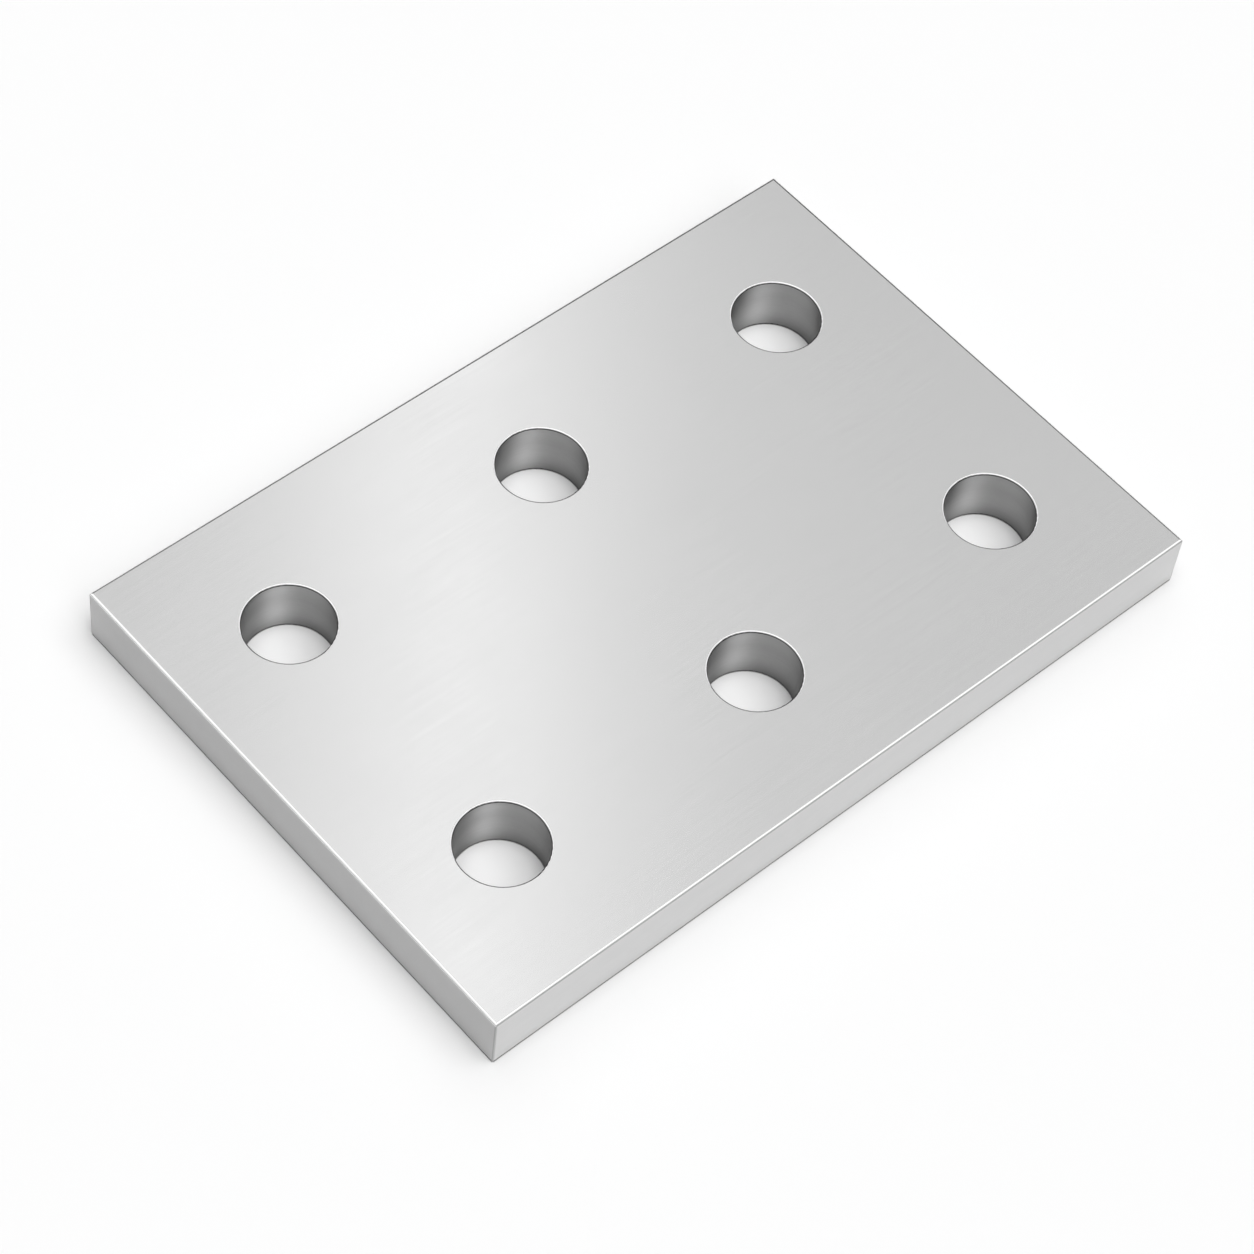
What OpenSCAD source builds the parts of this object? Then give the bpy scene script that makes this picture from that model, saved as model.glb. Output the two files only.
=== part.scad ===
// Flat rectangular mounting plate with a grid of plain round holes.
// It is one piece of metal plate. Every edge, corner and hole rim is broken by a small radius.
// The origin is the centre of the bottom face, +X runs along the length and +Z is up.

/* [Hole pattern] */
// Holes along the length
hole_columns = 3; // [1:1:8]
// Holes across the width
hole_rows = 2; // [1:1:6]
// Distance between the centres of neighbouring holes, the same both ways
hole_pitch = 48; // [26:0.5:90]
// Diameter of the holes, with room for a 12 mm bolt
hole_diameter = 14; // [6:0.5:24]

/* [Plate] */
// From the centres of the end holes to the short edges
end_margin = 19.5; // [14:0.5:60]
// From the centres of the outer holes to the long edges
side_margin = 22; // [14:0.5:60]
// Thickness of the plate
thickness = 10; // [3:0.5:25]

/* [Broken edges] */
// Radius of the four upright corners
corner_radius = 0.3; // [0.1:0.05:3]
// Radius round the outline of the top and bottom faces
edge_radius = 0.5; // [0.1:0.05:1]
// Radius of each hole's rim at both faces
rim_radius = 0.3; // [0.1:0.05:0.8]

/* [Hidden] */
$fn = 128;
plate_length = (hole_columns - 1) * hole_pitch + 2 * end_margin;
plate_width = (hole_rows - 1) * hole_pitch + 2 * side_margin;
bore_radius = hole_diameter / 2;
// How far bars and cutters run past the faces that they meet
cut_over = 1;

// A rectangle centred on the origin, with rounded corners
module rounded_rectangle(size, radius) {
    inner = [size[0] / 2 - radius, size[1] / 2 - radius];
    square([2 * inner[0], size[1]], center = true);
    square([size[0], 2 * inner[1]], center = true);
    for (x = [-inner[0], inner[0]])
        for (y = [-inner[1], inner[1]])
            translate([x, y])
                circle(r = radius);
}

// A bar along X, longer than the plate, with its four long edges rounded
module rounded_bar(length, width) {
    rotate([90, 0, 90])
        linear_extrude(height = length + 2 * cut_over, center = true)
            rounded_rectangle([width, thickness], edge_radius);
}

// The blank before drilling: what a bar each way and the upright outline have in common
module blank() {
    translate([0, 0, thickness / 2])
        intersection() {
            rounded_bar(plate_length, plate_width);
            rotate([0, 0, 90])
                rounded_bar(plate_width, plate_length);
            linear_extrude(height = thickness + 2 * cut_over, center = true)
                rounded_rectangle([plate_length, plate_width], corner_radius);
        }
}

// What one hole takes away: the bore, and the ring that leaves a rounded rim at each face
module hole_cutter() {
    mouth_radius = bore_radius + rim_radius;
    rotate_extrude()
        difference() {
            translate([0, -cut_over])
                square([mouth_radius, thickness + 2 * cut_over]);
            translate([bore_radius, rim_radius])
                square([rim_radius + cut_over, thickness - 2 * rim_radius]);
            for (y = [rim_radius, thickness - rim_radius])
                translate([mouth_radius, y])
                    circle(r = rim_radius);
        }
}

module plate() {
    first_x = -(hole_columns - 1) * hole_pitch / 2;
    first_y = -(hole_rows - 1) * hole_pitch / 2;
    color("silver")
        difference() {
            blank();
            for (column = [0 : hole_columns - 1])
                for (row = [0 : hole_rows - 1])
                    translate([first_x + column * hole_pitch, first_y + row * hole_pitch, 0])
                        hole_cutter();
        }
}

plate();
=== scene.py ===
import math
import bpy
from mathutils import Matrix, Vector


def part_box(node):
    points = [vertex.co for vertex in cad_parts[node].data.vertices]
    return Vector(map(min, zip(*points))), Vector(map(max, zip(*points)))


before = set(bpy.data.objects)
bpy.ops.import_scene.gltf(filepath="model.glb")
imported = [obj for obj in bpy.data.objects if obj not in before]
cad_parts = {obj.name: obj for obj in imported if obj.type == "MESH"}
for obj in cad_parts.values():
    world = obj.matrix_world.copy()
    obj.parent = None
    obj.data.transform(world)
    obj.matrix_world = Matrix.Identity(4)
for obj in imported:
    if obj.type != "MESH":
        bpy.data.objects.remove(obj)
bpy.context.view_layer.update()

from types import SimpleNamespace

import bpy
from mathutils import Quaternion, Vector

# Sizes of the plate that the finish follows, in metres. The holes stand in a grid of one pitch both ways,
# with a column at x = 0 and a row at y = HOLE_ROW.
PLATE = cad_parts["plate"]
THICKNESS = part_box("plate")[1].z
HOLE_PITCH = 0.048
HOLE_ROW = 0.024
BORE_RADIUS = 0.007
RIM_RADIUS = 0.0003

# Camera, fitted to the photograph's outline and holes
CAMERA_AIM = Vector((-0.0096, -0.00659, THICKNESS))
CAMERA_AZIMUTH = -47.256
CAMERA_ELEVATION = 53.832
CAMERA_ROLL = 7.64
CAMERA_DISTANCE = 0.5592
CAMERA_LENS = 110.06
CAMERA_SENSOR = 36.0
CAMERA_CLIP = (0.01, 20.0)

# What the metal mirrors: a pale tent, dim near the horizon, with a grey panel and a soft bright strip
# behind the plate, a dark card low behind it, and a paler panel and strip on each of the other three
# sides. Directions are unit vectors; an edge is a pair of cosines.
TENT_LIGHT = 1.18
HORIZON_LIGHT = 0.25
HORIZON_EDGE = (0.10, 0.38)
PANEL_AXIS = (0.6, 0.56, 0.574)
PANEL_EDGE = (0.79, 0.90)
PANEL_LIGHT = 0.83
STRIP_PLANE = (-0.786, 0.616, 0.058)
STRIP_WIDTH = 0.0105
STRIP_LIGHT = 1.68
BACKWARD = (0.731, 0.682, 0.0)
SIDEWARD = (-0.682, 0.731, 0.0)
RING_RISE = 35.0
RING_LIGHT = 0.95
RING_STRIP_WIDTH = 0.05
RING_STRIP_LIGHT = 0.32
CARD_AXIS = (0.704, 0.680, 0.208)
CARD_EDGE = (0.85, 0.88)
CARD_LIGHT = 0.10
BACKDROP_LIGHT = 0.985

# Lamps for the floor and its shadows: name, azimuth, elevation, spread in degrees, strength
LAMPS = (
    ("overhead", -50, 81, 35, 1.598),
    ("right", 35, 67, 41, 1.083),
    ("back", 136, 64, 72, 0.664),
    ("front", -11, 45, 29, 0.382),
)

# Floor, with a painted contact shadow: a thin dark line painted into its colour where the plate touches it
FLOOR_HALF = 3.0
FLOOR_TONE = 0.9
CONTACT_REACH = 0.0003
CONTACT_OPENNESS = (0.3, 0.9)
CONTACT_SHADE_TONE = 0.25
CONTACT_SAMPLES = 8

# Where each kind of surface begins and ends. A turn is a range of the normal's length along one axis,
# a rise is a height from the plate's middle, and a reach is a distance from a hole's axis.
BORE_REACH = (0.0074, 0.0076)
BORE_TURN = (0.3, 0.7)
END_TURN = (0.6, 0.8)
UPRIGHT_TURN = (0.71, 0.84)
END_UPRIGHT_SHIFT = 0.3
FACE_TURN = (0.97, 0.995)
CORNER_TURN = (0.1, 0.3)
# Where the painted shade lines lie: thin dark lines near the top and bottom of the sides and at a bore's
# mouth and foot
SHADE_LINE_RISE = (0.0046, 0.0047)
BORE_SHADE_LINE_RISE = 0.00005
END_SHADE_LINE = 0.3

# Tone of each kind of surface, and how it changes with the height. The sides and ends are painted lighter
# towards the bottom, painted light against the darker floor they mirror there.
FACE_METAL = 0.665
SIDE_METAL = 0.77
SIDE_BOTTOM_LIGHT = 0.07
END_METAL = 0.55
END_BOTTOM_LIGHT = 0.18
EDGE_METAL = 0.95
# Painted shade: how dark the thin lines along the edges are painted
SHADE_LINE_SHARE = 0.70
# Painted shade: how dark the rounded upright corners are painted
CORNER_SHADE_SHARE = 0.75
BORE_METAL = 0.345
# Painted shade at the foot of each bore and painted light at its mouth
BORE_FOOT = (-0.002, 0.005)
BORE_FOOT_SHADE = 0.6
BORE_MOUTH = (0.006, 0.0096)
BORE_MOUTH_LIGHT = 1.2
# Painted highlight: a paler band down two sides of each bore
BORE_HIGHLIGHT_SHARE = 0.75
BORE_HIGHLIGHT_AZIMUTH = 68.7
BORE_HIGHLIGHT_POWER = 16.0
BORE_SHADE_LINE_SHARE = 0.2

# Roughness, and how much light is left at the steepest grazing angles
FACE_ROUGHNESS = 0.18
SIDE_ROUGHNESS = 0.30
BORE_ROUGHNESS = 0.42
EDGE_ROUGHNESS = 0.12
FACE_GRAZE = 1.0
SIDE_GRAZE = 0.6
BORE_GRAZE = 0.4
EDGE_GRAZE = 0.1
CORNER_GRAZE = 0.05

# Fine texture: noise scales along X, Y and Z, and how much each noise changes tone and roughness
STREAK_SCALE = (60.0, 2000.0, 2000.0)
FLECK_SCALE = (450.0, 900.0, 900.0)
TURNING_SCALE = (150.0, 150.0, 4500.0)
MOTTLE_SCALE = (45.0, 45.0, 45.0)
FINE_DETAIL = 3.0
COARSE_DETAIL = 2.0
TURNING_GAIN = 4.0
STREAK_TONE = 0.05
FLECK_TONE = 0.03
MOTTLE_TONE = 0.03
TEXTURE_ROUGHNESS = 0.06
MOTTLE_ROUGHNESS = 0.05
BUMP_DISTANCE = 6e-7


def direction(azimuth, elevation):
    """The direction towards a point seen from the plate: azimuth 0 is -Y and 90 is +X, in degrees."""
    a, e = math.radians(azimuth), math.radians(elevation)
    return Vector((math.sin(a) * math.cos(e), -math.cos(a) * math.cos(e), math.sin(e)))


def add_object(name, data):
    thing = bpy.data.objects.new(name, data)
    bpy.context.scene.collection.objects.link(thing)
    return thing


def make_camera():
    data = bpy.data.cameras.new("camera")
    data.lens = CAMERA_LENS
    data.sensor_width = CAMERA_SENSOR
    data.clip_start, data.clip_end = CAMERA_CLIP
    camera = add_object("camera", data)
    back = direction(CAMERA_AZIMUTH, CAMERA_ELEVATION)
    camera.location = CAMERA_AIM + back * CAMERA_DISTANCE
    camera.rotation_mode = "QUATERNION"
    level = (-back).to_track_quat("-Z", "Y")
    camera.rotation_quaternion = level @ Quaternion((0, 0, 1), math.radians(CAMERA_ROLL))
    bpy.context.scene.camera = camera


class Nodes:
    """Short calls that add and join shader nodes."""

    def __init__(self, tree):
        self.tree = tree
        tree.nodes.clear()

    def add(self, kind, **settings):
        node = self.tree.nodes.new(kind)
        for name, value in settings.items():
            setattr(node, name, value)
        return node

    def feed(self, socket, value):
        if isinstance(value, bpy.types.NodeSocket):
            self.tree.links.new(value, socket)
        else:
            socket.default_value = value

    def math(self, operation, *values, clamp=False):
        node = self.add("ShaderNodeMath", operation=operation, use_clamp=clamp)
        for socket, value in zip(node.inputs, values):
            self.feed(socket, value)
        return node.outputs[0]

    def vector(self, operation, *values):
        node = self.add("ShaderNodeVectorMath", operation=operation)
        for socket, value in zip(node.inputs, values):
            self.feed(socket, value)
        return node.outputs["Value" if operation == "DOT_PRODUCT" else "Vector"]

    def ramp(self, value, low, high, to_low=0.0, to_high=1.0):
        """value mapped smoothly from low..high to to_low..to_high."""
        node = self.add("ShaderNodeMapRange", interpolation_type="SMOOTHERSTEP")
        for socket, number in zip(node.inputs, (value, low, high, to_low, to_high)):
            self.feed(socket, number)
        return node.outputs[0]

    def mix(self, share, low, high):
        """low where share is 0, high where it is 1."""
        if isinstance(low, float) and isinstance(high, float):
            return self.math("MULTIPLY_ADD", share, high - low, low)
        return self.math("MULTIPLY_ADD", share, self.math("SUBTRACT", high, low), low)

    def glow(self, across, width, light):
        """A soft strip of light around the places where across is 0."""
        across = self.math("DIVIDE", across, width)
        return self.math("DIVIDE", light, self.math("MULTIPLY_ADD", across, across, 1.0))

    def split(self, vector):
        node = self.add("ShaderNodeSeparateXYZ")
        self.feed(node.inputs[0], vector)
        return node.outputs

    def join(self, x, y, z):
        node = self.add("ShaderNodeCombineXYZ")
        for socket, value in zip(node.inputs, (x, y, z)):
            self.feed(socket, value)
        return node.outputs[0]

    def grey(self, value):
        return self.join(value, value, value)


def make_material(name):
    material = bpy.data.materials.new(name)
    material.use_nodes = True
    return material, Nodes(material.node_tree)


def ring(n, towards, rise):
    """The tent with its paler panels and strips."""
    back = n.vector("DOT_PRODUCT", towards, BACKWARD)
    side = n.vector("DOT_PRODUCT", towards, SIDEWARD)
    out = n.math("MAXIMUM", n.math("ABSOLUTE", side), n.math("MULTIPLY", back, -1.0))
    out = n.math("MULTIPLY", out, math.cos(math.radians(RING_RISE)))
    panel = n.ramp(n.math("MULTIPLY_ADD", rise, math.sin(math.radians(RING_RISE)), out), *PANEL_EDGE)
    strip = n.glow(n.math("MULTIPLY", back, side), RING_STRIP_WIDTH, RING_STRIP_LIGHT)
    return n.mix(panel, TENT_LIGHT, n.math("ADD", strip, RING_LIGHT))


def make_world():
    """The room that the metal mirrors, and a plain pale backdrop. The lamps light the floor."""
    world = bpy.data.worlds.new("studio")
    world.use_nodes = True
    world.cycles_visibility.diffuse = False
    bpy.context.scene.world = world
    n = Nodes(world.node_tree)
    towards = n.add("ShaderNodeTexCoord").outputs["Generated"]
    rise = n.split(towards)[2]
    panel = n.ramp(n.vector("DOT_PRODUCT", towards, PANEL_AXIS), *PANEL_EDGE)
    strip = n.glow(n.vector("DOT_PRODUCT", towards, STRIP_PLANE), STRIP_WIDTH, STRIP_LIGHT)
    light = n.mix(panel, ring(n, towards, rise), n.math("ADD", strip, PANEL_LIGHT))
    light = n.mix(n.ramp(rise, *HORIZON_EDGE), HORIZON_LIGHT, light)
    card = n.ramp(n.vector("DOT_PRODUCT", towards, CARD_AXIS), *CARD_EDGE)
    light = n.mix(card, light, CARD_LIGHT)
    ray = n.add("ShaderNodeLightPath").outputs
    light = n.mix(ray["Is Camera Ray"], light, BACKDROP_LIGHT)
    # Light that the floor would get by way of the metal is left out, because the lamps stand for it all
    light = n.math("MULTIPLY", light, n.math("LESS_THAN", ray["Diffuse Depth"], 0.5))
    background = n.add("ShaderNodeBackground")
    n.feed(background.inputs["Color"], (1.0, 1.0, 1.0, 1.0))
    n.feed(background.inputs["Strength"], light)
    n.feed(n.add("ShaderNodeOutputWorld").inputs["Surface"], background.outputs[0])


def make_floor():
    mesh = bpy.data.meshes.new("floor")
    h = FLOOR_HALF
    mesh.from_pydata([(-h, -h, 0), (h, -h, 0), (h, h, 0), (-h, h, 0)], [], [(0, 1, 2, 3)])
    floor = add_object("floor", mesh)
    material, n = make_material("floor_pale")
    # Painted contact shadow: the floor's colour is darkened by ambient occlusion next to the plate
    near = n.add("ShaderNodeAmbientOcclusion", samples=CONTACT_SAMPLES)
    n.feed(near.inputs["Distance"], CONTACT_REACH)
    share = n.ramp(near.outputs["AO"], *CONTACT_OPENNESS, CONTACT_SHADE_TONE, 1.0)
    paper = n.add("ShaderNodeBsdfDiffuse")
    n.feed(paper.inputs["Color"], n.grey(n.math("MULTIPLY", share, FLOOR_TONE)))
    n.feed(n.add("ShaderNodeOutputMaterial").inputs["Surface"], paper.outputs[0])
    mesh.materials.append(material)


def make_lamps():
    """Wide soft lamps that light the floor and stay out of the metal's reflections."""
    for name, azimuth, elevation, spread, strength in LAMPS:
        data = bpy.data.lights.new(name, "SUN")
        data.energy = strength
        data.angle = math.radians(spread)
        lamp = add_object(name, data)
        lamp.visible_glossy = False
        lamp.rotation_mode = "QUATERNION"
        lamp.rotation_quaternion = (-direction(azimuth, elevation)).to_track_quat("-Z", "Y")


def measure(n):
    """What the finish reads of a point: its place, its normal, and where the nearest hole's axis is."""
    at = SimpleNamespace()
    coords = n.add("ShaderNodeTexCoord")
    at.place = coords.outputs["Object"]
    at.normal = n.split(coords.outputs["Normal"])
    x, y, at.height = n.split(at.place)
    at.lift = n.math("SUBTRACT", at.height, THICKNESS / 2)
    at.rise = n.math("ABSOLUTE", at.lift)
    at.across = n.math("WRAP", x, HOLE_PITCH / 2, -HOLE_PITCH / 2)
    at.along = n.math("WRAP", n.math("SUBTRACT", y, HOLE_ROW), HOLE_PITCH / 2, -HOLE_PITCH / 2)
    squares = n.math("MULTIPLY_ADD", at.across, at.across, n.math("MULTIPLY", at.along, at.along))
    at.reach = n.math("SQRT", squares)
    at.rim = n.math("DIVIDE", n.math("SUBTRACT", at.rise, THICKNESS / 2 - RIM_RADIUS), RIM_RADIUS, clamp=True)
    return at


def sort_surfaces(n, at):
    """Add to the measures a share from 0 to 1 for each kind of surface that a point can lie on, and the masks
    of the painted shade lines and of the painted shade on the corners.
    """
    nx, ny, nz = at.normal
    at.inside = n.ramp(at.reach, *BORE_REACH, 1.0, 0.0)
    outside = n.math("SUBTRACT", 1.0, at.inside)
    flat = n.mix(at.inside, n.math("ABSOLUTE", nz), at.rim)
    at.end = n.math("MULTIPLY", n.ramp(n.math("ABSOLUTE", nx), *END_TURN), outside)
    at.bore = n.math("MULTIPLY", at.inside, n.ramp(flat, *BORE_TURN, 1.0, 0.0))
    at.upright = n.ramp(n.math("MULTIPLY_ADD", at.end, END_UPRIGHT_SHIFT, flat), *UPRIGHT_TURN, 1.0, 0.0)
    at.edge = n.math("SUBTRACT", n.ramp(flat, *FACE_TURN, 1.0, 0.0), at.upright)
    # Painted shade: thin dark lines along the sides near the top and bottom edges, and at a bore's mouth and
    # foot
    shade_line_rise = n.math("MULTIPLY_ADD", at.inside, -BORE_SHADE_LINE_RISE, at.rise)
    seam = n.math("MULTIPLY", at.upright, n.ramp(shade_line_rise, *SHADE_LINE_RISE))
    at.seam = n.math("MULTIPLY", seam, n.mix(at.end, 1.0, END_SHADE_LINE))
    # Painted shade: the rounded upright corners are darkened in the tone
    corner = n.ramp(n.math("ABSOLUTE", n.math("MULTIPLY", nx, ny)), *CORNER_TURN)
    at.corner = n.math("MULTIPLY", corner, n.math("MULTIPLY", at.upright, outside))


def true_normal(n, at):
    """The exact normal in a hole and on its rims, where the mesh's own is uneven. Elsewhere the mesh's."""
    lean = n.math("DIVIDE", n.math("SUBTRACT", BORE_RADIUS + RIM_RADIUS, at.reach), RIM_RADIUS, clamp=True)
    inwards = n.math("DIVIDE", lean, n.math("MULTIPLY", at.reach, -1.0))
    up = n.math("MULTIPLY", n.math("SIGN", at.lift), at.rim)
    exact = (n.math("MULTIPLY", inwards, at.across), n.math("MULTIPLY", inwards, at.along), up)
    blend = [n.mix(at.inside, own, better) for own, better in zip(at.normal, exact)]
    turned = n.add("ShaderNodeVectorTransform", vector_type="NORMAL")
    turned.convert_from, turned.convert_to = "OBJECT", "WORLD"
    n.feed(turned.inputs[0], n.join(*blend))
    return n.vector("NORMALIZE", turned.outputs[0])


def grain(n, place, scale, detail):
    """Fine noise around 0, with its own scale along each axis."""
    noise = n.add("ShaderNodeTexNoise")
    n.feed(noise.inputs["Vector"], n.vector("MULTIPLY", place, scale))
    n.feed(noise.inputs["Scale"], 1.0)
    n.feed(noise.inputs["Detail"], detail)
    return n.math("SUBTRACT", noise.outputs[0], 0.5)


def add_grain(n, at):
    """Add to the measures the streaks and mottle of the faces and the turning marks of the bores."""
    at.streaks = grain(n, at.place, STREAK_SCALE, FINE_DETAIL)
    at.flecks = grain(n, at.place, FLECK_SCALE, COARSE_DETAIL)
    at.mottle = grain(n, at.place, MOTTLE_SCALE, COARSE_DETAIL)
    turning = n.math("MULTIPLY", grain(n, at.place, TURNING_SCALE, FINE_DETAIL), TURNING_GAIN)
    at.texture = n.mix(at.bore, at.streaks, turning)


def bore_tone(n, at):
    """A bore's wall: a painted highlight as a paler band down two sides, painted shade darker at the foot,
    and painted light paler at the mouth.
    """
    turn = n.math("SUBTRACT", n.math("ARCTAN2", at.along, at.across), math.radians(BORE_HIGHLIGHT_AZIMUTH))
    painted_highlight = n.math("POWER", n.math("ABSOLUTE", n.math("COSINE", turn)), BORE_HIGHLIGHT_POWER)
    tone = n.math("MULTIPLY", n.mix(painted_highlight, 1.0, 1.0 + BORE_HIGHLIGHT_SHARE), BORE_METAL)
    # Painted shade: darker towards the foot of the bore
    tone = n.math("MULTIPLY", tone, n.ramp(at.height, *BORE_FOOT, BORE_FOOT_SHADE, 1.0))
    # Painted light: paler towards the mouth of the bore
    return n.math("MULTIPLY", tone, n.ramp(at.height, *BORE_MOUTH, 1.0, BORE_MOUTH_LIGHT))


def metal_tone(n, at):
    """How much light the metal mirrors head on, with painted shade and painted light laid into that tone."""
    # Painted light: sides and ends lighter towards the bottom
    low = n.ramp(at.height, 0.0, THICKNESS, 1.0, 0.0)
    side = n.mix(low, SIDE_METAL, SIDE_METAL * (1.0 + SIDE_BOTTOM_LIGHT))
    end = n.mix(low, END_METAL, END_METAL * (1.0 + END_BOTTOM_LIGHT))
    tone = n.mix(at.upright, FACE_METAL, n.mix(at.end, side, end))
    tone = n.mix(at.edge, n.mix(at.bore, tone, bore_tone(n, at)), EDGE_METAL)
    # Painted shade lines along the edges
    tone = n.math("MULTIPLY", tone, n.mix(at.seam, 1.0, n.mix(at.bore, SHADE_LINE_SHARE, BORE_SHADE_LINE_SHARE)))
    # Painted shade on the upright corners
    tone = n.math("MULTIPLY", tone, n.mix(at.corner, 1.0, CORNER_SHADE_SHARE))
    change = n.math("MULTIPLY_ADD", at.mottle, MOTTLE_TONE, 1.0)
    change = n.math("MULTIPLY_ADD", at.streaks, STREAK_TONE, change)
    change = n.math("MULTIPLY_ADD", at.flecks, FLECK_TONE, change)
    return n.math("MULTIPLY", tone, change)


def metal_graze(n, at):
    """How much of its light each kind of surface keeps at the steepest grazing angles."""
    graze = n.mix(at.bore, n.mix(at.upright, FACE_GRAZE, SIDE_GRAZE), BORE_GRAZE)
    return n.mix(at.corner, n.mix(at.edge, graze, EDGE_GRAZE), CORNER_GRAZE)


def metal_roughness(n, at):
    rough = n.mix(at.bore, n.mix(at.upright, FACE_ROUGHNESS, SIDE_ROUGHNESS), BORE_ROUGHNESS)
    rough = n.mix(at.edge, rough, EDGE_ROUGHNESS)
    change = n.math("MULTIPLY", at.mottle, MOTTLE_ROUGHNESS)
    change = n.math("MULTIPLY_ADD", at.texture, TEXTURE_ROUGHNESS, change)
    return n.math("ADD", rough, change)


def satin_metal():
    material, n = make_material("satin_metal")
    at = measure(n)
    sort_surfaces(n, at)
    add_grain(n, at)
    bump = n.add("ShaderNodeBump")
    n.feed(bump.inputs["Strength"], 1.0)
    n.feed(bump.inputs["Distance"], BUMP_DISTANCE)
    n.feed(bump.inputs["Height"], at.texture)
    n.feed(bump.inputs["Normal"], true_normal(n, at))
    metal = n.add("ShaderNodeBsdfPrincipled")
    n.feed(metal.inputs["Base Color"], n.grey(metal_tone(n, at)))
    n.feed(metal.inputs["Specular Tint"], n.grey(metal_graze(n, at)))
    n.feed(metal.inputs["Metallic"], 1.0)
    n.feed(metal.inputs["Roughness"], metal_roughness(n, at))
    n.feed(metal.inputs["Normal"], bump.outputs[0])
    n.feed(n.add("ShaderNodeOutputMaterial").inputs["Surface"], metal.outputs[0])
    return material


bpy.context.scene.view_settings.view_transform = "Standard"
make_camera()
make_world()
make_floor()
make_lamps()
PLATE.data.materials.clear()
PLATE.data.materials.append(satin_metal())
